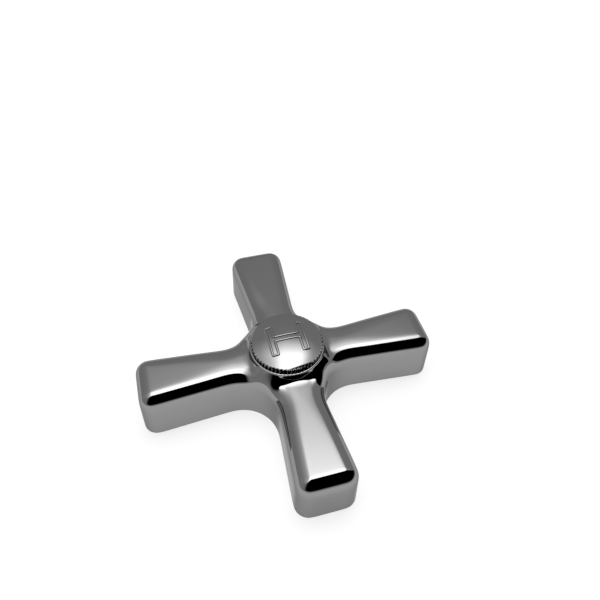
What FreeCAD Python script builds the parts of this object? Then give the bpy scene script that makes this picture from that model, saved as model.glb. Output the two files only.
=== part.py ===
"""Four-arm tap handle with a knurled index button and the screw that the button hides.

Millimetres, +Z up along the tap spindle. The origin lies on the spindle axis, in the plane of the handle's
underside. The arms point along X and Y.
"""
import FreeCAD
import Part
import Sketcher
import math
import os

DOCUMENT = FreeCAD.newDocument("tap_handle")

# Driving dimensions: name, value and what it measures. Lengths are in millimetres, angles in degrees.
SIZES = (
    ("span", 70.0, "across two opposite arms, at the underside"),
    ("arm_end_width", 14.4, "arm at its end, at the underside"),
    ("arm_flare_angle", 4.5, "each side of an arm against its centre line"),
    ("arm_root_overlap", 3.0, "how far an arm runs past the axis, inside the hub"),
    ("arm_height", 12.1, "underside to the flat top of an arm"),
    ("draft_angle", 1.2, "casting draft of the outer walls"),
    ("crook_radius", 8.7, "inside corner between two arms"),
    ("end_corner_radius", 3.5, "upright corners of an arm's end"),
    ("top_edge_radius", 3.0, "round of the upper edges"),
    ("collar_rise", 1.9, "arm top to the button's seat"),
    ("collar_flank_angle", 13.0, "lean of the collar's flank"),
    ("collar_blend_radius", 1.6, "hollow between collar and arms"),
    ("collar_rim_bevel", 0.2, "bevel of the collar's upper edge"),
    ("seat_ledge", 0.25, "width of the seat that shows round the button"),
    ("wall_thickness", 2.0, "side walls round the hollow of an arm"),
    ("skin_thickness", 2.6, "top of an arm above its hollow"),
    ("hub_radius", 10.2, "axis to the near end of an arm's hollow"),
    ("hollow_corner_radius", 1.6, "upright corners of an arm's hollow"),
    ("pilot_radius", 5.5, "plain mouth of the spindle socket"),
    ("pilot_depth", 2.5, "length of the plain mouth"),
    ("spline_crest_radius", 3.7, "socket, measured on the tips of its splines"),
    ("spline_depth", 0.5, "height of a spline"),
    ("spline_angle", 60.0, "opening angle of the groove between two splines"),
    ("spline_count", 20, "splines round the socket"),
    ("web_thickness", 1.9, "floor that the screw's head bears on"),
    ("counterbore_depth", 3.7, "button's seat to the web"),
    ("button_radius", 8.3, "over the knurled rim"),
    ("button_rim_height", 1.2, "knurled rim below its bevelled edge"),
    ("button_bevel", 0.4, "bevel between rim and crown"),
    ("button_dome_rise", 1.3, "crown of the button above its bevel"),
    ("knurl_count", 56, "grooves round the rim"),
    ("knurl_depth", 0.32, "depth of a groove"),
    ("knurl_angle", 90.0, "opening angle of a groove"),
    ("skirt_radius", 5.6, "threaded skirt of the button, over the thread"),
    ("skirt_wall", 1.2, "wall of the skirt"),
    ("skirt_length", 2.8, "seat to the lower end of the skirt"),
    ("skirt_roof", 0.7, "seat to the roof inside the skirt"),
    ("thread_clearance", 0.1, "gap between a thread and its hole"),
    ("screw_radius", 2.0, "screw, over the thread"),
    ("screw_length", 6.5, "under the head"),
    ("screw_head_radius", 3.5, "cheese head"),
    ("screw_head_height", 2.2, "cheese head"),
    ("screw_slot_width", 1.0, "driver slot"),
    ("screw_slot_depth", 1.0, "driver slot"),
)


class Length:
    """A size with its value now and the expression that ties it to the sheet."""

    def __init__(self, value, text):
        self.value = value
        self.text = text

    @staticmethod
    def of(other):
        if isinstance(other, Length):
            return other
        return Length(float(other), repr(float(other)))

    def __add__(self, other):
        other = Length.of(other)
        return Length(self.value + other.value, f"({self.text} + {other.text})")

    def __sub__(self, other):
        other = Length.of(other)
        return Length(self.value - other.value, f"({self.text} - {other.text})")

    def __mul__(self, other):
        other = Length.of(other)
        return Length(self.value * other.value, f"({self.text} * {other.text})")

    def __truediv__(self, other):
        other = Length.of(other)
        return Length(self.value / other.value, f"({self.text} / {other.text})")

    def __neg__(self):
        return Length(-self.value, f"(0 - {self.text})")

    def tan(self):
        return Length(math.tan(math.radians(self.value)), f"tan({self.text} * 1deg)")

    def cos(self):
        return Length(math.cos(math.radians(self.value)), f"cos({self.text} * 1deg)")


def make_sheet():
    """The spreadsheet of driving dimensions, and a Length for each of its cells."""
    sheet = DOCUMENT.addObject("Spreadsheet::Sheet", "Sizes")
    lengths = {}
    for row, (name, value, note) in enumerate(SIZES, start=1):
        sheet.set(f"A{row}", note)
        sheet.set(f"B{row}", str(value))
        sheet.setAlias(f"B{row}", name)
        lengths[name] = Length(float(value), f"Sizes.{name}")
    DOCUMENT.recompute()
    return lengths


SIZE = make_sheet()
ARM_COUNT = Length.of(4)
HALF_SPAN = SIZE["span"] / 2

# Heights of the hub's steps, and the collar that the button's own width sets.
SEAT = SIZE["arm_height"] + SIZE["collar_rise"]
WEB_TOP = SEAT - SIZE["counterbore_depth"]
WEB_FLOOR = WEB_TOP - SIZE["web_thickness"]
COLLAR_RADIUS = SIZE["button_radius"] + SIZE["seat_ledge"]

# How closely two places must agree to count as the same.
NEAR = 0.01


def arm_half_width(along):
    """Half the width of an arm at a distance from the axis, at the underside."""
    return SIZE["arm_end_width"] / 2 - (HALF_SPAN - along) * SIZE["arm_flare_angle"].tan()


def new_body(name):
    body = DOCUMENT.addObject("PartDesign::Body", name)
    body.Label = name
    return body


def origin_feature(body, role):
    return next(f for f in body.Origin.OriginFeatures if f.Role == role)


def new_sketch(body, name, plane):
    sketch = body.newObject("Sketcher::SketchObject", name)
    sketch.AttachmentSupport = (origin_feature(body, plane), [""])
    sketch.MapMode = "FlatFace"
    return sketch


def tie(feature, prop, length):
    """Binds a feature's property to the sheet."""
    setattr(feature, prop, length.value)
    feature.setExpression(prop, length.text)


def pin_coordinate(sketch, kind, point, length):
    """Holds one coordinate of a sketch point: on the axis where it is zero, else at a size from the sheet."""
    if length.value == 0:
        axis = -2 if kind == "DistanceX" else -1
        sketch.addConstraint(Sketcher.Constraint("PointOnObject", *point, axis))
        return
    index = sketch.addConstraint(Sketcher.Constraint(kind, -1, 1, *point, length.value))
    sketch.setExpression(f"Constraints[{index}]", length.text)


def closed_profile(sketch, corners, crowned=()):
    """Draws a closed outline through the corners, each an (x, y) pair of sizes.

    A corner's number in crowned makes the stretch that leaves it an arc about a centre on the sketch's upright
    axis, in place of a straight line.
    """
    points = [(Length.of(x), Length.of(y)) for x, y in corners]
    places = [FreeCAD.Vector(x.value, y.value, 0) for x, y in points]
    ends = []
    for number, start in enumerate(places):
        stop = places[(number + 1) % len(places)]
        if number in crowned:
            ends.append(add_crown(sketch, start, stop))
        else:
            line = sketch.addGeometry(Part.LineSegment(start, stop))
            ends.append(((line, 1), (line, 2)))
    for number, (x, y) in enumerate(points):
        start = ends[number][0]
        sketch.addConstraint(Sketcher.Constraint("Coincident", *ends[number - 1][1], *start))
        pin_coordinate(sketch, "DistanceX", start, x)
        pin_coordinate(sketch, "DistanceY", start, y)


def add_crown(sketch, start, stop):
    """An arc from start to stop, counter-clockwise, with its centre on the upright axis."""
    height = (start.x**2 + start.y**2 - stop.x**2 - stop.y**2) / (2 * (start.y - stop.y))
    centre = FreeCAD.Vector(0, height, 0)
    circle = Part.Circle(centre, FreeCAD.Vector(0, 0, 1), (start - centre).Length)
    first = math.atan2(start.y - height, start.x)
    last = math.atan2(stop.y - height, stop.x)
    arc = sketch.addGeometry(Part.ArcOfCircle(circle, first, last))
    sketch.addConstraint(Sketcher.Constraint("PointOnObject", arc, 3, -2))
    return (arc, 1), (arc, 2)


def notch(sketch, radius, half_width, bottom):
    """A triangular notch across a round wall: its mouth a little past the wall, its point at the bottom radius."""
    mouth = radius * 2 - bottom
    closed_profile(sketch, [(mouth, half_width * 2), (bottom, 0), (mouth, -half_width * 2)])


def pad(body, name, sketch, length):
    feature = body.newObject("PartDesign::Pad", name)
    feature.Profile = sketch
    tie(feature, "Length", length)
    return feature


def pocket(body, name, sketch, length, upwards):
    feature = body.newObject("PartDesign::Pocket", name)
    feature.Profile = sketch
    feature.Reversed = upwards
    tie(feature, "Length", length)
    return feature


def turned(body, kind, name, sketch):
    """A full turn of the sketch about its upright axis: a Revolution adds, a Groove cuts."""
    feature = body.newObject(f"PartDesign::{kind}", name)
    feature.Profile = sketch
    feature.ReferenceAxis = (sketch, ["V_Axis"])
    feature.Angle = 360
    return feature


def polar_pattern(body, name, original, count):
    """Copies of a feature, evenly spaced about the spindle axis."""
    feature = body.newObject("PartDesign::PolarPattern", name)
    feature.Originals = [original]
    feature.Axis = (origin_feature(body, "Z_Axis"), [""])
    feature.Angle = 360
    feature.Occurrences = int(count.value)
    feature.setExpression("Occurrences", count.text)
    body.Tip = feature
    DOCUMENT.recompute()
    return feature


def round_edges(body, name, base, radius, wanted):
    """Fillets the edges of the base feature that the test wanted picks out."""
    DOCUMENT.recompute()
    names = [f"Edge{i}" for i, edge in enumerate(base.Shape.Edges, start=1) if wanted(edge)]
    feature = body.newObject("PartDesign::Fillet", name)
    feature.Base = (base, names)
    tie(feature, "Radius", radius)
    DOCUMENT.recompute()
    return feature


def draft_walls(body, name, base, top, hollow):
    """Leans the base feature's walls that climb from the underside to the height top.

    The walls of a hollow lean so that it narrows upwards, as outer walls do.
    """
    walls = []
    for number, face in enumerate(base.Shape.Faces, start=1):
        low, high = face.BoundBox.ZMin, face.BoundBox.ZMax
        if abs(low) < NEAR and abs(high - top.value) < NEAR:
            walls.append(f"Face{number}")
    feature = body.newObject("PartDesign::Draft", name)
    feature.Base = (base, walls)
    feature.NeutralPlane = (origin_feature(body, "XY_Plane"), [""])
    feature.Reversed = hollow
    tie(feature, "Angle", SIZE["draft_angle"])
    DOCUMENT.recompute()
    return feature


def middle(edge):
    return edge.valueAt((edge.FirstParameter + edge.LastParameter) / 2)


def reach(point):
    """Distance of a point from the spindle axis."""
    return math.hypot(point.x, point.y)


def upright(edge):
    """True for an edge that climbs from the underside to the arm's top."""
    low, high = edge.BoundBox.ZMin, edge.BoundBox.ZMax
    return high - low > SIZE["arm_height"].value / 2


def level(edge, height):
    """True for an edge that lies at one height."""
    return abs(edge.BoundBox.ZMin - height) < NEAR and abs(edge.BoundBox.ZMax - height) < NEAR


def build_handle_body():
    """The casting: four flared arms, hollow below, and a hub with a spindle socket and a seat for the button."""
    body = new_body("handle_body")
    add_arms(body)
    add_collar(body)
    add_hollows(body)
    add_bores(body)
    return body


def add_arms(body):
    """Four drafted arms about the axis, with their crooks, ends and upper edges rounded."""
    root = -SIZE["arm_root_overlap"]
    root_half = arm_half_width(root)
    end_half = arm_half_width(HALF_SPAN)
    sketch = new_sketch(body, "arm_outline", "XY_Plane")
    closed_profile(
        sketch,
        [(root, -root_half), (HALF_SPAN, -end_half), (HALF_SPAN, end_half), (root, root_half)],
    )
    arm = pad(body, "arm", sketch, SIZE["arm_height"])
    arms = polar_pattern(body, "arms", arm, ARM_COUNT)

    midway = HALF_SPAN.value / 2

    def at_crook(edge):
        return upright(edge) and reach(middle(edge)) < midway

    def at_arm_end(edge):
        return upright(edge) and reach(middle(edge)) > HALF_SPAN.value

    def at_top(edge):
        return level(edge, SIZE["arm_height"].value)

    crooks = round_edges(body, "crooks", arms, SIZE["crook_radius"], at_crook)
    ends = round_edges(body, "arm_ends", crooks, SIZE["end_corner_radius"], at_arm_end)
    walls = draft_walls(body, "wall_draft", ends, SIZE["arm_height"], hollow=False)
    round_edges(body, "top_edges", walls, SIZE["top_edge_radius"], at_top)


def add_collar(body):
    """A leaning collar that carries the button, blended into the arms and the crooks."""
    lean = SIZE["collar_flank_angle"].tan()
    sunk = SIZE["arm_height"] - SIZE["top_edge_radius"]
    sketch = new_sketch(body, "collar_profile", "XZ_Plane")
    foot_radius = COLLAR_RADIUS + (SEAT - sunk) * lean
    bevel = SIZE["collar_rim_bevel"]
    closed_profile(
        sketch,
        [
            (0, sunk),
            (foot_radius, sunk),
            (COLLAR_RADIUS + bevel * lean, SEAT - bevel),
            (COLLAR_RADIUS - bevel, SEAT),
            (0, SEAT),
        ],
    )
    collar = turned(body, "Revolution", "collar", sketch)

    def at_foot(edge):
        point = middle(edge)
        flank = COLLAR_RADIUS.value + (SEAT.value - point.z) * lean.value
        return abs(reach(point) - flank) < NEAR and edge.BoundBox.ZMax < SEAT.value - bevel.value - NEAR

    round_edges(body, "collar_blend", collar, SIZE["collar_blend_radius"], at_foot)


def add_hollows(body):
    """The hollow of an arm, cored from below, four times about the axis."""
    near_end = SIZE["hub_radius"]
    far_end = HALF_SPAN - SIZE["wall_thickness"]
    side_wall = SIZE["wall_thickness"] / SIZE["arm_flare_angle"].cos()
    near_half = arm_half_width(near_end) - side_wall
    far_half = arm_half_width(far_end) - side_wall
    depth = SIZE["arm_height"] - SIZE["skin_thickness"]
    sketch = new_sketch(body, "hollow_outline", "XY_Plane")
    closed_profile(
        sketch,
        [(near_end, -near_half), (far_end, -far_half), (far_end, far_half), (near_end, near_half)],
    )
    hollow = pocket(body, "hollow", sketch, depth, upwards=True)
    hollows = polar_pattern(body, "hollows", hollow, ARM_COUNT)

    def at_hollow_corner(edge):
        return upright(edge) and abs(edge.BoundBox.ZMax - depth.value) < NEAR

    corners = round_edges(body, "hollow_corners", hollows, SIZE["hollow_corner_radius"], at_hollow_corner)
    draft_walls(body, "hollow_draft", corners, depth, hollow=True)


def add_bores(body):
    """The stepped bore on the axis, then the splines of its socket."""
    pilot = SIZE["pilot_depth"]
    crest = SIZE["spline_crest_radius"]
    hole = SIZE["screw_radius"] + SIZE["thread_clearance"]
    counterbore = SIZE["skirt_radius"] + SIZE["thread_clearance"]
    sketch = new_sketch(body, "bore_profile", "XZ_Plane")
    closed_profile(
        sketch,
        [
            (0, 0),
            (SIZE["pilot_radius"], 0),
            (SIZE["pilot_radius"], pilot),
            (crest, pilot),
            (crest, WEB_FLOOR),
            (hole, WEB_FLOOR),
            (hole, WEB_TOP),
            (counterbore, WEB_TOP),
            (counterbore, SEAT),
            (0, SEAT),
        ],
    )
    turned(body, "Groove", "bores", sketch)

    groove_half = (SIZE["spline_angle"] / 2).tan() * SIZE["spline_depth"]
    sketch = new_sketch(body, "spline_outline", "XY_Plane")
    notch(sketch, crest, groove_half, crest + SIZE["spline_depth"])
    spline = pocket(body, "spline_groove", sketch, WEB_FLOOR, upwards=True)
    polar_pattern(body, "splines", spline, SIZE["spline_count"])


def build_index_button():
    """The turned button: crown, knurled rim and a threaded skirt that reaches round the screw's head."""
    body = new_body("index_button")
    rim = SEAT + SIZE["button_rim_height"]
    shoulder = rim + SIZE["button_bevel"]
    crown = shoulder + SIZE["button_dome_rise"]
    skirt_end = SEAT - SIZE["skirt_length"]
    roof = SEAT - SIZE["skirt_roof"]
    bore = SIZE["skirt_radius"] - SIZE["skirt_wall"]
    sketch = new_sketch(body, "button_profile", "XZ_Plane")
    corners = [
        (0, roof),
        (bore, roof),
        (bore, skirt_end),
        (SIZE["skirt_radius"], skirt_end),
        (SIZE["skirt_radius"], SEAT),
        (SIZE["button_radius"], SEAT),
        (SIZE["button_radius"], rim),
        (SIZE["button_radius"] - SIZE["button_bevel"], shoulder),
        (0, crown),
    ]
    closed_profile(sketch, corners, crowned=(7,))
    turned(body, "Revolution", "blank", sketch)

    groove_half = (SIZE["knurl_angle"] / 2).tan() * SIZE["knurl_depth"]
    sketch = new_sketch(body, "knurl_outline", "XY_Plane")
    notch(sketch, SIZE["button_radius"], groove_half, SIZE["button_radius"] - SIZE["knurl_depth"])
    groove = pocket(body, "knurl_groove", sketch, crown, upwards=True)
    polar_pattern(body, "knurl", groove, SIZE["knurl_count"])
    return body


def build_handle_screw():
    """A slotted cheese-head screw, its head on the web under the button."""
    body = new_body("handle_screw")
    head_top = WEB_TOP + SIZE["screw_head_height"]
    tip = WEB_TOP - SIZE["screw_length"]
    sketch = new_sketch(body, "screw_profile", "XZ_Plane")
    closed_profile(
        sketch,
        [
            (0, tip),
            (SIZE["screw_radius"], tip),
            (SIZE["screw_radius"], WEB_TOP),
            (SIZE["screw_head_radius"], WEB_TOP),
            (SIZE["screw_head_radius"], head_top),
            (0, head_top),
        ],
    )
    turned(body, "Revolution", "blank", sketch)
    slot_half = SIZE["screw_slot_width"] / 2
    slot_floor = head_top - SIZE["screw_slot_depth"]
    sketch = new_sketch(body, "slot_outline", "XZ_Plane")
    closed_profile(
        sketch,
        [(-slot_half, slot_floor), (slot_half, slot_floor), (slot_half, head_top), (-slot_half, head_top)],
    )
    slot = pocket(body, "slot", sketch, SIZE["screw_head_radius"] * 2, upwards=False)
    slot.Midplane = True
    return body


def write_parts(bodies):
    """Writes each body to its own file, once all of them are sound."""
    DOCUMENT.recompute()
    for item in DOCUMENT.Objects:
        if "Invalid" in item.State or "Error" in item.State:
            raise RuntimeError(f"{item.Label} did not build: {item.State}")
    os.makedirs("parts", exist_ok=True)
    for body in bodies:
        if body.Shape.isNull() or not body.Shape.isValid() or len(body.Shape.Solids) != 1:
            raise RuntimeError(f"{body.Label} is not one sound solid")
        body.Shape.exportStep(os.path.join("parts", f"{body.Label}.step"))
        print(body.Label, round(body.Shape.Volume, 1), "cubic millimetres")


write_parts([build_handle_body(), build_index_button(), build_handle_screw()])
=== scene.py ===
import logging
import math
from dataclasses import dataclass
from enum import Enum
from typing import ClassVar, Sequence

import bmesh
import bpy
from bmesh.types import BMesh
from mathutils import Matrix, Vector


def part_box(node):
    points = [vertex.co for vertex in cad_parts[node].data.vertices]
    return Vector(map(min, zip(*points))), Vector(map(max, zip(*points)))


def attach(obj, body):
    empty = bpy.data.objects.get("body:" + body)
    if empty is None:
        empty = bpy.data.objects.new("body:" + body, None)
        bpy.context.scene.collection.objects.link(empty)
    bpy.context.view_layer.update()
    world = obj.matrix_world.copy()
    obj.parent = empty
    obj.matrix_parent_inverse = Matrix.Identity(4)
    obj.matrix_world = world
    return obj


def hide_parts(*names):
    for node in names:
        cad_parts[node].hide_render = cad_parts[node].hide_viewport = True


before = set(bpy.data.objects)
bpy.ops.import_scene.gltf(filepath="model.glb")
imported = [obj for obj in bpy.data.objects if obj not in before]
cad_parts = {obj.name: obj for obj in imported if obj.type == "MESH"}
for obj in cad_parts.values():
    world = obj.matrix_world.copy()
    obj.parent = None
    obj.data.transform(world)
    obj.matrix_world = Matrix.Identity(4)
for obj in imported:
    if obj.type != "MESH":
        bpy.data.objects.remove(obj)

LOG = logging.getLogger("tap_handle")
# A millimetre in metres.
MM = 0.001
# Points of a new mesh that are closer than this, in millimetres, are one.
SEAM = 0.001
BODY = "root"
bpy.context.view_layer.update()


class Shading(Enum):
    """How a finished mesh is shaded."""

    ROUNDED = math.radians(40.0)
    CRISP = math.radians(20.0)


class Ease(Enum):
    """How a value goes from one end of its range to the other."""

    STRAIGHT = "LINEAR"
    SOFT = "SMOOTHSTEP"


class Operation(Enum):
    """What is done with two values."""

    ADD = "ADD"
    MULTIPLY = "MULTIPLY"
    ANGLE = "ARCTAN2"


class NodeTree:
    """A material's or the world's node tree, with short calls for the few things that are done to it."""

    def __init__(self, tree: bpy.types.NodeTree) -> None:
        """Empties the tree.

        Args:
            tree: The tree that is filled afterwards.
        """
        self.tree = tree
        self.tree.nodes.clear()

    def add(self, kind: str, **settings: object) -> bpy.types.Node:
        """Adds a node and sets its properties.

        Args:
            kind: The node's class name without its prefix.
            settings: Properties of the node by name.

        Returns:
            The new node.
        """
        node = self.tree.nodes.new(f"ShaderNode{kind}")
        for name, value in settings.items():
            setattr(node, name, value)
        return node

    def link(self, source: bpy.types.NodeSocket, target: bpy.types.NodeSocket) -> None:
        """Joins two sockets."""
        self.tree.links.new(source, target)

    def dot(self, source: bpy.types.NodeSocket, way: Vector) -> bpy.types.NodeSocket:
        """The share of a vector that points a given way.

        Args:
            source: The vector.
            way: The direction, as a unit vector.

        Returns:
            The share's socket.
        """
        node = self.add("VectorMath", operation="DOT_PRODUCT")
        self.link(source, node.inputs[0])
        node.inputs[1].default_value = way
        return node.outputs["Value"]

    def combine(
        self, operation: Operation, first: bpy.types.NodeSocket, second: bpy.types.NodeSocket
    ) -> bpy.types.NodeSocket:
        """The sum or product of two values, or the angle whose sides they are.

        Args:
            operation: What is done.
            first: The first value.
            second: The second value.

        Returns:
            The result's socket.
        """
        node = self.add("Math", operation=operation.value)
        self.link(first, node.inputs[0])
        self.link(second, node.inputs[1])
        return node.outputs["Value"]

    def step(self, source: bpy.types.NodeSocket, low: float, high: float, ease: Ease) -> bpy.types.NodeSocket:
        """A value carried from one range to the range from none to one.

        Args:
            source: The value.
            low: Where the result is none.
            high: Where the result is one.
            ease: How it goes from one to the other.

        Returns:
            The result's socket.
        """
        node = self.add("MapRange", interpolation_type=ease.value)
        self.link(source, node.inputs["Value"])
        node.inputs["From Min"].default_value = low
        node.inputs["From Max"].default_value = high
        return node.outputs["Result"]

    def spread(self, source: bpy.types.NodeSocket, middle: float, width: float) -> bpy.types.NodeSocket:
        """A value from none to one, carried to a narrow range round a middle.

        Args:
            source: The value.
            middle: The middle of the range.
            width: Half the range.

        Returns:
            The result's socket.
        """
        node = self.add("MapRange")
        self.link(source, node.inputs["Value"])
        node.inputs["To Min"].default_value = middle - width
        node.inputs["To Max"].default_value = middle + width
        return node.outputs["Result"]

    def metal(self, tone: bpy.types.NodeSocket, gloss: bpy.types.NodeSocket, edge_tone: float) -> None:
        """Ends a material's tree in a bare metal surface.

        Args:
            tone: The metal's tone.
            gloss: Its roughness.
            edge_tone: Its tint where it is seen at a slant.
        """
        shader = self.add("BsdfPrincipled")
        shader.inputs["Metallic"].default_value = 1.0
        shader.inputs["Specular Tint"].default_value = (edge_tone, edge_tone, edge_tone, 1.0)
        self.link(tone, shader.inputs["Base Color"])
        self.link(gloss, shader.inputs["Roughness"])
        out = self.add("OutputMaterial")
        self.link(shader.outputs["BSDF"], out.inputs["Surface"])


@dataclass(frozen=True)
class PolishedChrome:
    """Polished plating: a faint cloudiness in its tone, and hairlines that a cloth leaves in its gloss."""

    name: str
    tone: float = 0.28
    tone_spread: float = 0.015
    roughness: float = 0.035
    roughness_spread: float = 0.015
    cloud_scale: float = 90.0
    cloud_detail: float = 3.0
    hairline_scale: float = 1400.0
    hairline_detail: float = 2.0
    edge_tone: float = 0.5

    def material(self) -> bpy.types.Material:
        """Builds the node material.

        Returns:
            The material, which reads Object coordinates only.
        """
        made = bpy.data.materials.new(self.name)
        made.use_nodes = True
        nodes = NodeTree(made.node_tree)
        place = nodes.add("TexCoord")
        clouds = nodes.add("TexNoise")
        clouds.inputs["Scale"].default_value = self.cloud_scale
        clouds.inputs["Detail"].default_value = self.cloud_detail
        nodes.link(place.outputs["Object"], clouds.inputs["Vector"])
        tone = nodes.spread(clouds.outputs["Fac"], self.tone, self.tone_spread)

        hairlines = nodes.add("TexNoise")
        hairlines.inputs["Scale"].default_value = self.hairline_scale
        hairlines.inputs["Detail"].default_value = self.hairline_detail
        nodes.link(place.outputs["Object"], hairlines.inputs["Vector"])
        gloss = nodes.spread(hairlines.outputs["Fac"], self.roughness, self.roughness_spread)
        nodes.metal(tone, gloss, self.edge_tone)
        return made


@dataclass(frozen=True)
class TurnedSteel:
    """Plain machined steel: the fine rings of its turning show in its tone and its gloss."""

    name: str
    tone: float = 0.5
    tone_spread: float = 0.03
    roughness: float = 0.3
    roughness_spread: float = 0.05
    ring_scale: float = 700.0
    ring_waver: float = 1.5
    edge_tone: float = 1.0

    def material(self) -> bpy.types.Material:
        """Builds the node material.

        Returns:
            The material, which reads Object coordinates only.
        """
        made = bpy.data.materials.new(self.name)
        made.use_nodes = True
        nodes = NodeTree(made.node_tree)
        place = nodes.add("TexCoord")
        rings = nodes.add("TexWave", wave_type="RINGS", rings_direction="Z")
        rings.inputs["Scale"].default_value = self.ring_scale
        rings.inputs["Distortion"].default_value = self.ring_waver
        nodes.link(place.outputs["Object"], rings.inputs["Vector"])
        tone = nodes.spread(rings.outputs["Fac"], self.tone, self.tone_spread)
        gloss = nodes.spread(rings.outputs["Fac"], self.roughness, self.roughness_spread)
        nodes.metal(tone, gloss, self.edge_tone)
        return made


def lay_grid(bm: BMesh, rows: Sequence[Sequence[Vector]]) -> None:
    """Lays a grid of faces over rows of points.

    Args:
        bm: The mesh that gets the grid.
        rows: Points of the grid, row by row.
    """
    last_row, last_column = len(rows) - 1, len(rows[0]) - 1
    made = bmesh.ops.create_grid(bm, x_segments=last_column, y_segments=last_row, size=1.0)
    for vert in made["verts"]:
        column = round((vert.co.x + 1.0) / 2.0 * last_column)
        row = round((vert.co.y + 1.0) / 2.0 * last_row)
        vert.co = rows[row][column]


def repeat_round(bm: BMesh, count: int) -> None:
    """Repeats a mesh round the upright axis.

    Args:
        bm: The mesh, which holds the pattern alone.
        count: How often the pattern is there afterwards.
    """
    pattern = bm.verts[:] + bm.edges[:] + bm.faces[:]
    for number in range(1, count):
        copy = bmesh.ops.duplicate(bm, geom=pattern)["geom"]
        verts = [item for item in copy if isinstance(item, bmesh.types.BMVert)]
        spin = Matrix.Rotation(2.0 * math.pi * number / count, 3, "Z")
        bmesh.ops.rotate(bm, cent=(0.0, 0.0, 0.0), matrix=spin, verts=verts)


def held(data: bpy.types.Mesh | bpy.types.Curve) -> bpy.types.Object:
    """Puts a mesh or a curve in the scene while it is worked on.

    Args:
        data: The mesh or curve.

    Returns:
        The object that holds it.
    """
    holder = bpy.data.objects.new(data.name, data)
    bpy.context.scene.collection.objects.link(holder)
    return holder


def released(holder: bpy.types.Object) -> bpy.types.Mesh:
    """Takes the finished mesh from an object and removes the object.

    Args:
        holder: The object, with its modifiers or its bevel.

    Returns:
        The mesh as they make it.
    """
    graph = bpy.context.evaluated_depsgraph_get()
    mesh = bpy.data.meshes.new_from_object(holder.evaluated_get(graph))
    bpy.data.objects.remove(holder)
    return mesh


def finished_object(bm: BMesh, name: str, shading: Shading) -> bpy.types.Object:
    """Turns a mesh in millimetres into a shaded object in the frame, and frees the mesh.

    Args:
        bm: The mesh, in millimetres.
        name: The piece's name.
        shading: The angle above which an edge stays sharp.

    Returns:
        The object, at the origin.
    """
    bmesh.ops.transform(bm, matrix=Matrix.Scale(MM, 4), verts=bm.verts)
    mesh = bpy.data.meshes.new(name)
    bm.to_mesh(mesh)
    bm.free()
    mesh.polygons.foreach_set("use_smooth", [True] * len(mesh.polygons))
    mesh.set_sharp_from_angle(angle=shading.value)
    return held(mesh)


class ScenePiece:
    """A piece that is built in the scene: its material slot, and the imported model's node that it replaces."""

    slot: ClassVar[str]
    node: ClassVar[str | None] = None

    def build(self) -> bpy.types.Object:
        """Builds the piece."""
        raise NotImplementedError

    def dress(self, finish: bpy.types.Material) -> None:
        """Builds the piece and gives it its finish, its body and the node that it replaces.

        Args:
            finish: The piece's finish.
        """
        piece = self.build()
        piece.data.materials.clear()
        piece.data.materials.append(finish)
        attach(piece, BODY)
        if self.node:
            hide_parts(self.node)
        LOG.info("%s: %d faces", piece.name, len(piece.data.polygons))


@dataclass(frozen=True)
class Station:
    """A place along the handle's outline, which moves in a straight line as the outline is inset."""

    edge: Vector
    inward: Vector

    def at(self, inset: float, height: float) -> Vector:
        """The point of this station on the outline with that inset, at that height."""
        plan = self.edge + self.inward * inset
        return Vector((plan.x, plan.y, height))


@dataclass(frozen=True)
class ArmOutline:
    """The handle's outline at its underside, from the middle of an arm's end to the crook beside it."""

    half_span: float
    end_half_width: float = 7.2
    flare: float = math.radians(4.5)
    crook_radius: float = 8.7
    corner_radius: float = 3.5
    end_middle: float = 1.9
    corner_steps: int = 4
    side_places: tuple[float, ...] = (28.5, 25.0, 21.5, 18.0)
    crook_places: tuple[float, ...] = (0.225, 0.45, 0.633, 0.817, 1.0)

    def side_half_width(self, along: float) -> float:
        """Half the arm's width at a distance from the axis."""
        return self.end_half_width - (self.half_span - along) * math.tan(self.flare)

    def crook_centre(self) -> float:
        """Distance of the crook's centre from the axis, along X and along Y."""
        lean = math.tan(self.flare)
        return (self.crook_radius / math.cos(self.flare) + self.side_half_width(0.0)) / (1.0 - lean)

    def end(self) -> list[Station]:
        """Stations along the arm's end.

        Returns:
            The stations, from the end's middle to where its corner starts.
        """
        inward = Vector((-1.0, 0.0))
        across = (0.0, self.end_middle, self.corner_centre().y)
        return [Station(Vector((self.half_span, v)), inward) for v in across]

    def corner_centre(self) -> Vector:
        """Centre of the arm's rounded corner.

        Returns:
            The point, seen from above.
        """
        along = self.half_span - self.corner_radius
        across = self.side_half_width(along) - self.corner_radius / math.cos(self.flare)
        return Vector((along, across))

    def corner(self) -> list[Station]:
        """Stations round the arm's corner.

        Returns:
            The stations after the corner's start. Those between its ends are drawn out for the smoothing.
        """
        centre = self.corner_centre()
        turn = math.radians(90.0) + self.flare
        step = turn / self.corner_steps
        made = []
        for number in range(1, self.corner_steps + 1):
            way = Vector((math.cos(step * number), math.sin(step * number)))
            if number < self.corner_steps:
                way *= self.draw_out(step)
            made.append(Station(centre + way * self.corner_radius, -way))
        return made

    def side(self) -> list[Station]:
        """Stations along the arm's straight side, from its end inwards."""
        inward = Vector((math.sin(self.flare), -math.cos(self.flare)))
        return [Station(Vector((u, self.side_half_width(u))), inward) for u in self.side_places]

    def crook(self) -> list[Station]:
        """Stations along half the crook.

        Returns:
            The stations, from the arm's side to the diagonal between two arms.
        """
        centre = Vector((self.crook_centre(), self.crook_centre()))
        first = self.flare - math.radians(90.0)
        turn = -math.radians(135.0) - first
        made = []
        for part in (0.0,) + self.crook_places:
            angle = first + turn * part
            way = Vector((math.cos(angle), math.sin(angle)))
            made.append(Station(centre + way * self.crook_radius, way))
        return made

    @staticmethod
    def draw_out(step: float) -> float:
        """How far a control point leaves an arc, so that the smoothed surface passes through the arc."""
        return 1.5 - 0.5 * math.cos(step)


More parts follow.
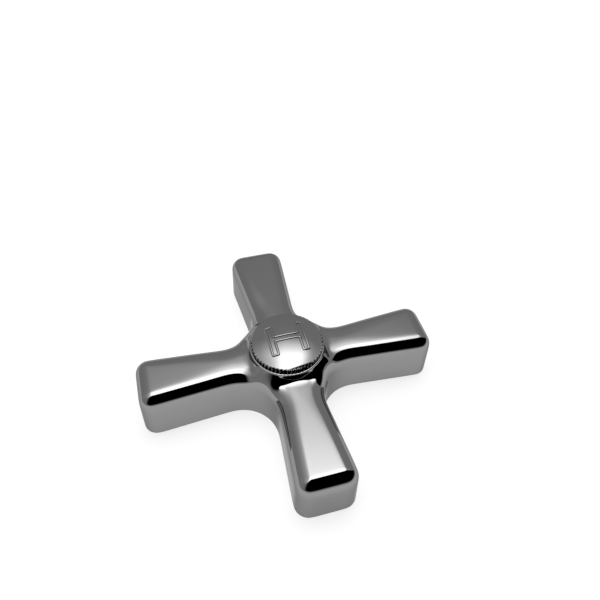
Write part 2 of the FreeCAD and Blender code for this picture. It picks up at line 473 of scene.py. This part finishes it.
@dataclass(frozen=True)
class Bend:
    """A smooth bend from one point to another that heads for a corner between them."""

    start: Vector
    corner: Vector
    stop: Vector
    fullness: float

    def at(self, part: float) -> Vector:
        """The point at a share of the way."""
        shares = ((1.0 - part) ** 2, 2.0 * self.fullness * part * (1.0 - part), part**2)
        return (self.start * shares[0] + self.corner * shares[1] + self.stop * shares[2]) / sum(shares)


@dataclass
class HandleBody(ScenePiece):
    """The casting: four arms and a collar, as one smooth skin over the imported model's hollow underside."""

    slot: ClassVar[str] = "chrome_body"
    node: ClassVar[str | None] = "handle_body"

    outline: ArmOutline
    arms: int = 4
    arm_height: float = 12.1
    seat_height: float = 14.0
    draft: float = math.radians(1.2)
    top_edge_radius: float = 3.0
    root_swell: float = 0.25
    root_reach: tuple[float, float] = (19.0, 12.0)
    crown_width: tuple[float, float] = (2.4, 1.2)
    crown_reach: tuple[float, float] = (15.0, 25.0)
    crown_tilt: float = math.radians(7.0)
    collar_radius: float = 8.66
    ledge: float = 0.41
    ledge_drop: float = 0.1
    ledge_shares: tuple[float, ...] = (0.0, 0.3, 0.65, 1.0)
    rim_round: float = 0.2
    rim_reach: float = math.radians(23.0)
    flank_lean: float = math.radians(9.0)
    fold_rise: tuple[float, float] = (0.35, 1.4)
    fold_width: float = 0.06
    ramp_share: tuple[float, float] = (0.15, 0.35)
    ramp_rise: float = 0.1
    tail_share: tuple[float, float] = (0.8, 0.55)
    hill_lean: float = math.radians(58.0)
    hill_fullness: float = 1.0
    hill_rows: tuple[float, ...] = (0.07, 0.115, 0.16, 0.26, 0.35, 0.45)
    bore_radius: float = 5.7
    wall_thickness: float = 2.0
    inner_margin: float = 1.6
    round_steps: int = 4
    wall_heights: tuple[float, ...] = (6.0, 1.0, 0.12)
    foot_round: float = 0.12
    lip: float = 0.8
    lip_height: float = 0.06
    border_draw: float = 0.36
    skin_seam: float = 0.005
    node_seam: float = 0.002
    smoothing: int = 2

    def surface(self, station: Station, travel: float) -> Vector:
        """A point on the arm's top or on the round of its upper edge.

        Args:
            station: The place along the outline.
            travel: Distance from the start of the round, along the surface.

        Returns:
            The point.
        """
        radius, along = self.edge_radius(station), station.edge.x
        turn = self.crown_tilt + travel / radius
        height = self.arm_height - self.crown_drop(0.0, along)
        height -= radius * (math.cos(self.crown_tilt) - math.cos(turn))
        inset = height * math.tan(self.draft) + radius * (1.0 - math.sin(turn))
        return station.at(inset, height)

    def crown_drop(self, reach: float, along: float) -> float:
        """How far the top lies below its middle.

        Args:
            reach: Distance inwards from the start of the upper edge's round.
            along: Distance from the axis along the arm; the crowned border narrows outwards.

        Returns:
            The drop, in millimetres.
        """
        near, far = self.crown_reach
        root, tip = self.crown_width
        width = root + (tip - root) * min(max((along - near) / (far - near), 0.0), 1.0)
        part = max(0.0, 1.0 - reach / width)
        return width * math.tan(self.crown_tilt) / 2.0 * part**2

    def edge_radius(self, station: Station) -> float:
        """Radius of the upper edge's round, which grows a little towards the arm's root.

        Args:
            station: The place along the outline.

        Returns:
            The radius there.
        """
        far, near = self.root_reach
        part = min(max((far - station.edge.x) / (far - near), 0.0), 1.0)
        return self.top_edge_radius + self.root_swell * part

    def round_length(self, station: Station) -> float:
        """Length of the upper edge's round at a station, from its start to the wall."""
        return self.edge_radius(station) * (math.radians(90.0) - self.crown_tilt)

    def rim(self, way: Vector) -> list[Vector]:
        """Points from the bore's edge over the collar's rim to the top of its flank.

        Args:
            way: The level direction in which the points lie.

        Returns:
            The points, from the bore outwards.
        """
        profile = [(self.bore_radius, 0.0)]
        for share in self.ledge_shares:
            profile.append((self.collar_radius - self.ledge * (1.0 - share), self.ledge_drop * share**2))
        flank = self.collar_radius + self.rim_round * math.tan(self.flank_lean)
        profile.append((flank, self.ledge_drop + self.rim_round))
        return [way * radius + Vector((0.0, 0.0, self.seat_height - depth)) for radius, depth in profile]

    def arm_column(self, landing: Vector, part: float) -> list[Vector]:
        """Points from the bore's edge over the collar's rim and down its flank to an arm.

        Args:
            landing: The column's last point, on the arm's top.
            part: The column's place from the arm's middle to its side, from none to one.

        Returns:
            The points, from the bore outwards.
        """
        angle = self.rim_reach * part
        way = Vector((math.cos(angle), math.sin(angle), 0.0))
        column = self.rim(way)
        top = column[-1]
        foot = top + way * (top.z - landing.z) * math.tan(self.flank_lean)
        foot.z = landing.z
        ranges = (self.fold_rise, self.ramp_share, self.tail_share)
        rise, share, tail = (middle + (side - middle) * part**2 for middle, side in ranges)
        fold = foot + (top - foot).normalized() * rise
        ramp = foot.lerp(landing, share) + Vector((0.0, 0.0, self.ramp_rise))
        above = fold + (top - fold).normalized() * self.fold_width
        below = fold + (ramp - fold).normalized() * self.fold_width
        return column + [above, fold, below, ramp, foot.lerp(landing, tail), landing]

    def hill(self, station: Station, way: Vector) -> Bend:
        """The slope from the collar's rim over the crook's upper edge to its wall.

        Args:
            station: The place along the crook.
            way: The level direction in which the slope leaves the rim.

        Returns:
            The slope.
        """
        start = self.rim(way)[-1]
        low = self.arm_height - self.top_edge_radius
        stop = station.at(low * math.tan(self.draft), low)
        edge = start.z - (stop.xy - start.xy).length / math.tan(self.hill_lean)
        return Bend(start, station.at(edge * math.tan(self.draft), edge), stop, self.hill_fullness)

    def eighth(self, bm: BMesh) -> None:
        """Lays the skin over one eighth of the handle: half an arm's top, some collar and the outer wall.

        Args:
            bm: The mesh that gets the faces.
        """
        end, corner = self.outline.end(), self.outline.corner()
        side, crook = self.outline.side(), self.outline.crook()
        ring_corner, blended = crook[2], crook[3:]

        half_corner = self.outline.corner_steps // 2
        end_row = [self.surface(station, 0.0) for station in end + corner[:half_corner]]
        last_column = len(end_row) - 1

        ring_edge = self.surface(ring_corner, 0.0)
        first_row = []
        for number in range(last_column + 1):
            landing = Vector((ring_edge.x, ring_edge.y * number / last_column, self.arm_height))
            landing.z -= self.crown_drop(ring_edge.y - landing.y, landing.x)
            first_row.append(landing)
        columns = [self.arm_column(landing, number / last_column) for number, landing in enumerate(first_row)]
        hills = []
        for number, station in enumerate(blended, start=1):
            angle = self.rim_reach + (math.radians(45.0) - self.rim_reach) * number / len(blended)
            way = Vector((math.cos(angle), math.sin(angle), 0.0))
            slope = self.hill(station, way)
            columns.append(self.rim(way) + [slope.at(part) for part in self.hill_rows])
            hills.append(slope)
        lay_grid(bm, columns)

        edge_stations = [crook[1], crook[0]] + side[::-1] + corner[half_corner:][::-1]
        edges = [self.surface(station, 0.0) for station in edge_stations]
        end_parts = [point.y / edges[-1].y for point in end_row]
        rows = [first_row]
        for number, edge in enumerate(edges, start=1):
            blend = number / len(edges)
            row = []
            for column, end_part in enumerate(end_parts):
                part = column / last_column * (1.0 - blend) + end_part * blend
                point = Vector((edge.x, edge.y * part, self.arm_height))
                point.z -= self.crown_drop(min(edge.y - point.y, end_row[0].x - point.x), point.x)
                row.append(point)
            row[-1] = edge
            rows.append(row)
        rows.append(end_row)
        lay_grid(bm, rows)

        plain = end + corner + side + crook[:-len(blended)]
        walls = [self.wall_column(station, None) for station in plain]
        walls += [self.wall_column(station, slope) for station, slope in zip(blended, hills)]
        lay_grid(bm, walls)

    def wall_column(self, station: Station, slope: Bend | None) -> list[Vector]:
        """Points down the outer wall at a station, from the upper edge to a lip under the foot.

        Args:
            station: The place along the outline.
            slope: The slope that comes down to the wall there, or None where the edge has its plain round.

        Returns:
            The points, from the top down.
        """
        parts = [number / self.round_steps for number in range(self.round_steps + 1)]
        if slope:
            last = self.hill_rows[-1]
            column = [slope.at(last + (1.0 - last) * part) for part in parts]
        else:
            length = self.round_length(station)
            column = [self.surface(station, length * part) for part in parts]
        for height in self.wall_heights:
            column.append(station.at(height * math.tan(self.draft), height))
        column.append(station.at(self.foot_round, 0.0))
        column.append(station.at(self.lip, self.lip_height))
        return column

    def skin(self) -> bpy.types.Mesh:
        """The whole outer skin, smoothed.

        Returns:
            The mesh, in millimetres.
        """
        bm = bmesh.new()
        self.eighth(bm)
        everything = bm.verts[:] + bm.edges[:] + bm.faces[:]
        bmesh.ops.mirror(bm, geom=everything, matrix=Matrix.Identity(4), merge_dist=SEAM, axis="Y")
        repeat_round(bm, self.arms)
        bmesh.ops.remove_doubles(bm, verts=bm.verts, dist=self.skin_seam)
        bmesh.ops.recalc_face_normals(bm, faces=bm.faces)
        if sum(face.normal.z for face in bm.faces) < 0.0:
            bmesh.ops.reverse_faces(bm, faces=bm.faces)
        cage = bpy.data.meshes.new("handle_cage")
        bm.to_mesh(cage)
        bm.free()
        holder = held(cage)
        smoother = holder.modifiers.new("smoothing", "SUBSURF")
        smoother.levels = smoother.render_levels = self.smoothing
        return released(holder)

    def is_underside(self, face: bmesh.types.BMFace) -> bool:
        """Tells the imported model's inner faces from its outer ones.

        Args:
            face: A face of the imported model.

        Returns:
            True where the face lies in a hollow, in a bore or on the underside.
        """
        place = face.calc_center_median()
        if place.z < self.lip_height:
            return True
        reach = place.xy.length
        if reach < self.collar_radius:
            return place.z < self.seat_height - self.foot_round and reach < self.bore_radius + self.foot_round
        across, along = sorted((abs(place.x), abs(place.y)))
        if along >= self.outline.half_span - self.inner_margin:
            return False
        if across >= self.outline.side_half_width(along) - self.inner_margin:
            return False
        return place.z < self.arm_height - self.wall_thickness

    def draw_in(self, under: BMesh) -> None:
        """Draws the open border of the flat underside in, so that the skin's rounded foot shows beyond it.

        Args:
            under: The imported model's underside, without its outer faces.
        """
        ways: dict[bmesh.types.BMVert, Vector] = {}
        for edge in under.edges:
            if not edge.is_boundary or max(vert.co.z for vert in edge.verts) > self.foot_round:
                continue
            along = (edge.verts[1].co - edge.verts[0].co).normalized()
            inwards = edge.link_faces[0].calc_center_median() - edge.verts[0].co
            inwards -= along * inwards.dot(along)
            for vert in edge.verts:
                ways[vert] = ways.get(vert, Vector()) + inwards.normalized()
        for vert, way in ways.items():
            vert.co += way.normalized() * self.border_draw

    def build(self) -> bpy.types.Object:
        """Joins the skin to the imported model's own hollows and bores.

        Returns:
            The piece.
        """
        under = bmesh.new()
        under.from_mesh(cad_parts["handle_body"].data)
        bmesh.ops.transform(under, matrix=Matrix.Scale(1.0 / MM, 4), verts=under.verts)
        bmesh.ops.remove_doubles(under, verts=under.verts, dist=self.node_seam)
        outer = [face for face in under.faces if not self.is_underside(face)]
        bmesh.ops.delete(under, geom=outer, context="FACES")
        self.draw_in(under)
        hollow = bpy.data.meshes.new("handle_hollows")
        under.to_mesh(hollow)
        under.free()
        bm = bmesh.new()
        bm.from_mesh(self.skin())
        bm.from_mesh(hollow)
        return finished_object(bm, "handle_casting", Shading.ROUNDED)


@dataclass
class IndexButton(ScenePiece):
    """The turned button: knurled rim, domed crown and a skirt inside the collar."""

    slot: ClassVar[str] = "chrome_button"
    node: ClassVar[str | None] = "index_button"

    seat_height: float = 14.0
    rim_radius: float = 8.3
    rim_height: float = 1.2
    bevel: float = 0.2
    bevel_rise: float = 0.25
    dome_rise: float = 1.2
    dome_shoulder: float = 0.22
    knurl_count: int = 56
    knurl_depth: float = 0.32
    land_share: float = 0.24
    groove_end: float = 0.05
    skirt_radius: float = 5.6
    skirt_wall: float = 1.2
    skirt_length: float = 2.8
    roof_depth: float = 0.7
    dome_rings: int = 14

    def dome_edge(self) -> float:
        """Radius at which the crown ends in the rim's bevel."""
        return self.rim_radius - self.bevel

    def dome_height(self, reach: float) -> float:
        """Height of the crown, which is flat in the middle and rounder towards its edge.

        Args:
            reach: Distance from the axis.

        Returns:
            The height there.
        """
        apex = self.seat_height + self.rim_height + self.bevel_rise + self.dome_rise
        part = (reach / self.dome_edge()) ** 2
        return apex - self.dome_rise * part * (1.0 - self.dome_shoulder * (1.0 - part))

    def sector(self) -> list[list[Vector]]:
        """One tooth of the knurl with its slice of the button.

        Returns:
            Four columns of points: a groove, both ends of the land, then the next groove.
        """
        pitch = 2.0 * math.pi / self.knurl_count
        land = pitch * self.land_share / 2.0
        rim = self.seat_height + self.rim_height
        inner = self.rim_radius - self.knurl_depth - self.groove_end
        shoulder = (self.dome_edge() - inner) / (self.rim_radius - inner)
        bore = self.skirt_radius - self.skirt_wall
        foot = self.seat_height - self.skirt_length
        before, after = (-pitch / 2.0, self.knurl_depth), (pitch / 2.0, self.knurl_depth)
        columns = []
        for angle, depth in (before, (-land, 0.0), (land, 0.0), after):
            way = Vector((math.cos(angle), math.sin(angle), 0.0))
            profile = [
                (0.0, self.seat_height - self.roof_depth),
                (bore, self.seat_height - self.roof_depth),
                (bore, foot),
                (self.skirt_radius, foot),
                (self.skirt_radius, self.seat_height),
                (self.rim_radius - depth, self.seat_height),
                (self.rim_radius - depth, rim),
            ]
            edge = inner + (self.rim_radius - depth - inner) * shoulder
            rings = [inner * (1.0 - ring / self.dome_rings) for ring in range(self.dome_rings + 1)]
            profile += [(reach, self.dome_height(reach)) for reach in [edge] + rings]
            columns.append([way * r + Vector((0.0, 0.0, z)) for r, z in profile])
        return columns

    def build(self) -> bpy.types.Object:
        """Turns one tooth round the axis.

        Returns:
            The piece.
        """
        bm = bmesh.new()
        lay_grid(bm, self.sector())
        repeat_round(bm, self.knurl_count)
        bmesh.ops.remove_doubles(bm, verts=bm.verts, dist=SEAM)
        bmesh.ops.recalc_face_normals(bm, faces=bm.faces)
        return finished_object(bm, "button_crown", Shading.CRISP)


@dataclass
class HotMark(ScenePiece):
    """The letter H on the button, as a raised bead along the letter's outline."""

    slot: ClassVar[str] = "chrome_button"

    button: IndexButton
    stroke_centre: float = 3.55
    stroke_width: float = 1.3
    top: float = 4.05
    bottom: float = -3.95
    bar_centre: float = 0.3
    bar_width: float = 1.25
    bead_radius: float = 0.36
    bead_sink: float = 0.15
    bead_steps: int = 4
    point_spacing: float = 0.5

    def corners(self) -> list[Vector]:
        """Corners of the letter's outline.

        Returns:
            The corners, in order.
        """
        outer = self.stroke_centre + self.stroke_width / 2.0
        inner = self.stroke_centre - self.stroke_width / 2.0
        bar_top = self.bar_centre + self.bar_width / 2.0
        bar_foot = self.bar_centre - self.bar_width / 2.0
        right = [(inner, bar_top), (inner, self.top), (outer, self.top)]
        right += [(outer, self.bottom), (inner, self.bottom), (inner, bar_foot)]
        left = [(-x, y) for x, y in reversed(right)]
        return [Vector((x, y, 0.0)) for x, y in right + left]

    def build(self) -> bpy.types.Object:
        """Lays the bead on the crown.

        Returns:
            The piece.
        """
        curve = bpy.data.curves.new("hot_mark", "CURVE")
        curve.dimensions = "3D"
        curve.bevel_depth = self.bead_radius
        curve.bevel_resolution = self.bead_steps
        line = curve.splines.new("POLY")
        points = self.fine_points()
        line.points.add(len(points) - 1)
        for point, place in zip(line.points, points):
            point.co = (*place, 1.0)
        line.use_cyclic_u = True
        bm = bmesh.new()
        bm.from_mesh(released(held(curve)))
        for vert in bm.verts:
            vert.co.z += self.button.dome_height(vert.co.xy.length) - self.bead_sink
        return finished_object(bm, "button_hot_mark", Shading.ROUNDED)

    def fine_points(self) -> list[Vector]:
        """The outline with its sides cut short enough to follow the crown.

        Returns:
            The points, in order.
        """
        corners = self.corners()
        points = []
        for start, stop in zip(corners, corners[1:] + corners[:1]):
            steps = max(1, round((stop - start).length / self.point_spacing))
            points += [start.lerp(stop, step / steps) for step in range(steps)]
        return points


class HandleScrew:
    """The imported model's own screw, which shows as it is."""

    node: ClassVar[str] = "handle_screw"

    def dress(self, finish: bpy.types.Material) -> None:
        """Gives the screw its finish.

        Args:
            finish: The screw's finish.
        """
        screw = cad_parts[self.node]
        screw.data.materials.clear()
        screw.data.materials.append(finish)
        LOG.info("%s: %d faces", screw.name, len(screw.data.polygons))


@dataclass
class Studio:
    """Floor, light and camera."""

    floor_size: float = 3.0
    floor_tone: float = 0.42
    floor_glow: float = 0.78
    light_peak: float = 4.2
    light_back: tuple[tuple[float, float], ...] = (
        (-30.0, 0.0), (-15.0, 0.6), (-8.0, 1.0), (18.0, 1.0), (23.0, 0.8), (27.5, 0.56),
        (31.0, 0.42), (33.5, 0.3), (36.5, 0.17), (39.0, 0.065), (42.0, 0.012), (60.0, 0.0),
    )
    light_right: tuple[tuple[float, float], ...] = (
        (-50.0, 0.0), (-28.0, 0.15), (-22.0, 0.25), (-17.0, 0.32), (-12.0, 0.5), (-7.0, 0.86),
        (-2.0, 1.0), (11.0, 1.0), (15.0, 0.85), (19.0, 0.5), (23.0, 0.26), (28.0, 0.12), (50.0, 0.0),
    )
    room_level: float = 0.47
    screen_edge: tuple[float, float, float] = (151.0, 0.0, 0.06)
    screen_side: tuple[float, float, float] = (119.0, 10.0, -0.1)
    screen_softness: tuple[float, float] = (0.03, 0.36)
    wall_top: tuple[float, float] = (8.0, 10.5)
    wall_level: float = 0.5
    camera_place: tuple[float, float, float] = (-22.22, -81.19, 121.74)
    camera_aim: tuple[float, float, float] = (8.81, 19.53, 6.05)
    camera_roll: float = math.radians(1.914)
    lens: float = 35.55
    sensor_width: float = 36.0
    clip: tuple[float, float] = (0.005, 20.0)

    def floor(self) -> None:
        """Lays a plain white floor, which glows a little where it is seen and keeps a soft shadow."""
        bm = bmesh.new()
        bmesh.ops.create_grid(bm, x_segments=1, y_segments=1, size=self.floor_size / MM / 2.0)
        plane = finished_object(bm, "floor", Shading.ROUNDED)
        made = bpy.data.materials.new("white_floor")
        made.use_nodes = True
        nodes = NodeTree(made.node_tree)
        matt = nodes.add("BsdfDiffuse")
        matt.inputs["Color"].default_value = (self.floor_tone, self.floor_tone, self.floor_tone, 1.0)
        rays = nodes.add("LightPath")
        seen = nodes.combine(Operation.ADD, rays.outputs["Is Camera Ray"], rays.outputs["Is Glossy Ray"])
        shown = nodes.combine(Operation.ADD, seen, rays.outputs["Is Transmission Ray"])
        level = nodes.step(shown, 0.0, 1.0 / self.floor_glow, Ease.STRAIGHT)
        glow = nodes.add("Emission")
        nodes.link(level, glow.inputs["Strength"])
        both = nodes.add("AddShader")
        nodes.link(matt.outputs["BSDF"], both.inputs[0])
        nodes.link(glow.outputs["Emission"], both.inputs[1])
        out = nodes.add("OutputMaterial")
        nodes.link(both.outputs["Shader"], out.inputs["Surface"])
        plane.data.materials.append(made)

    def heading(self, turn: float, rise: float) -> Vector:
        """A direction in the room.

        Args:
            turn: Angle in degrees to the right of the way the camera looks.
            rise: Angle in degrees above the floor.

        Returns:
            The unit vector.
        """
        ahead = (Vector(self.camera_aim) - Vector(self.camera_place)).xy.normalized()
        plan = Matrix.Rotation(-math.radians(turn), 2) @ ahead
        flat = math.cos(math.radians(rise))
        return Vector((plan.x * flat, plan.y * flat, math.sin(math.radians(rise))))

    def fall(
        self, nodes: NodeTree, view: bpy.types.NodeSocket, way: Vector, levels: Sequence[tuple[float, float]]
    ) -> bpy.types.NodeSocket:
        """How the overhead light falls off as a direction tilts away from straight up.

        Args:
            nodes: The world's tree.
            view: The direction.
            way: The level way in which the tilt is measured.
            levels: Tilts in degrees, each with the light's share there.

        Returns:
            The socket of the light's share.
        """
        level, upright = nodes.dot(view, way), nodes.dot(view, Vector((0.0, 0.0, 1.0)))
        tilt = nodes.combine(Operation.ANGLE, level, upright)
        first, last = levels[0][0], levels[-1][0]
        part = nodes.step(tilt, math.radians(first), math.radians(last), Ease.STRAIGHT)
        ramp = nodes.add("ValToRGB")
        ramp.color_ramp.interpolation = "B_SPLINE"
        stops = ramp.color_ramp.elements
        for degrees, _ in levels[1:-1]:
            stops.new((degrees - first) / (last - first))
        for stop, (_, share) in zip(stops, levels):
            stop.color = (share, share, share, 1.0)
        nodes.link(part, ramp.inputs["Fac"])
        return ramp.outputs["Color"]

    def world(self) -> None:
        """A grey room with a soft light overhead, a dark screen beside the camera and pale low walls."""
        world = bpy.data.worlds.new("studio")
        bpy.context.scene.world = world
        world.use_nodes = True
        nodes = NodeTree(world.node_tree)
        view = nodes.add("TexCoord").outputs["Generated"]

        light = nodes.combine(
            Operation.MULTIPLY,
            self.fall(nodes, view, self.heading(0.0, 0.0), self.light_back),
            self.fall(nodes, view, self.heading(90.0, 0.0), self.light_right),
        )
        share = self.room_level / self.light_peak
        bright = nodes.add("MapRange", interpolation_type=Ease.STRAIGHT.value)
        bright.inputs["To Min"].default_value = share
        bright.inputs["To Max"].default_value = 1.0
        nodes.link(light, bright.inputs["Value"])

        sides = []
        for (turn, rise, edge), softness in zip((self.screen_edge, self.screen_side), self.screen_softness):
            beside = nodes.dot(view, self.heading(turn, rise))
            sides.append(nodes.step(beside, edge - softness / 2.0, edge + softness / 2.0, Ease.SOFT))
        dark = nodes.combine(Operation.MULTIPLY, *sides)
        lit = nodes.step(dark, 1.0, 0.0, Ease.STRAIGHT)
        room = nodes.combine(Operation.MULTIPLY, bright.outputs["Result"], lit)

        height = nodes.dot(view, Vector((0.0, 0.0, 1.0)))
        low, high = (math.sin(math.radians(degrees)) for degrees in self.wall_top)
        above = nodes.step(height, low, high, Ease.SOFT)
        mixed = nodes.add("Mix", data_type="FLOAT")
        nodes.link(above, mixed.inputs[0])
        mixed.inputs[2].default_value = self.wall_level / self.light_peak
        nodes.link(room, mixed.inputs[3])
        sky = nodes.add("Background")
        sky.inputs["Strength"].default_value = self.light_peak
        nodes.link(mixed.outputs[0], sky.inputs["Color"])
        out = nodes.add("OutputWorld")
        nodes.link(sky.outputs["Background"], out.inputs["Surface"])

    def camera(self) -> None:
        """The camera, at the photograph's viewing angle."""
        place, aim = Vector(self.camera_place) * MM, Vector(self.camera_aim) * MM
        forward = (aim - place).normalized()
        level = forward.cross(Vector((0.0, 0.0, 1.0))).normalized()
        rise = level.cross(forward)
        right = level * math.cos(self.camera_roll) + rise * math.sin(self.camera_roll)
        up = right.cross(forward)
        data = bpy.data.cameras.new("camera")
        data.lens = self.lens
        data.sensor_width = self.sensor_width
        data.clip_start, data.clip_end = self.clip
        camera = bpy.data.objects.new("camera", data)
        turn = Matrix((right, up, -forward)).transposed()
        camera.matrix_world = Matrix.Translation(place) @ turn.to_4x4()
        bpy.context.scene.collection.objects.link(camera)
        bpy.context.scene.camera = camera

    def build(self) -> None:
        """Sets up floor, light and camera, and the plain view transform."""
        self.floor()
        self.world()
        self.camera()
        bpy.context.scene.view_settings.view_transform = "Standard"


def main() -> None:
    """Builds the pieces and the studio in order."""
    logging.basicConfig(level=logging.INFO)
    half_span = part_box("handle_body")[1].x / MM
    chrome = PolishedChrome("polished_chrome").material()
    button = IndexButton()
    HandleBody(ArmOutline(half_span)).dress(chrome)
    button.dress(chrome)
    HotMark(button).dress(chrome)
    HandleScrew().dress(TurnedSteel("plain_steel").material())
    Studio().build()


if __name__ == "__main__":
    main()
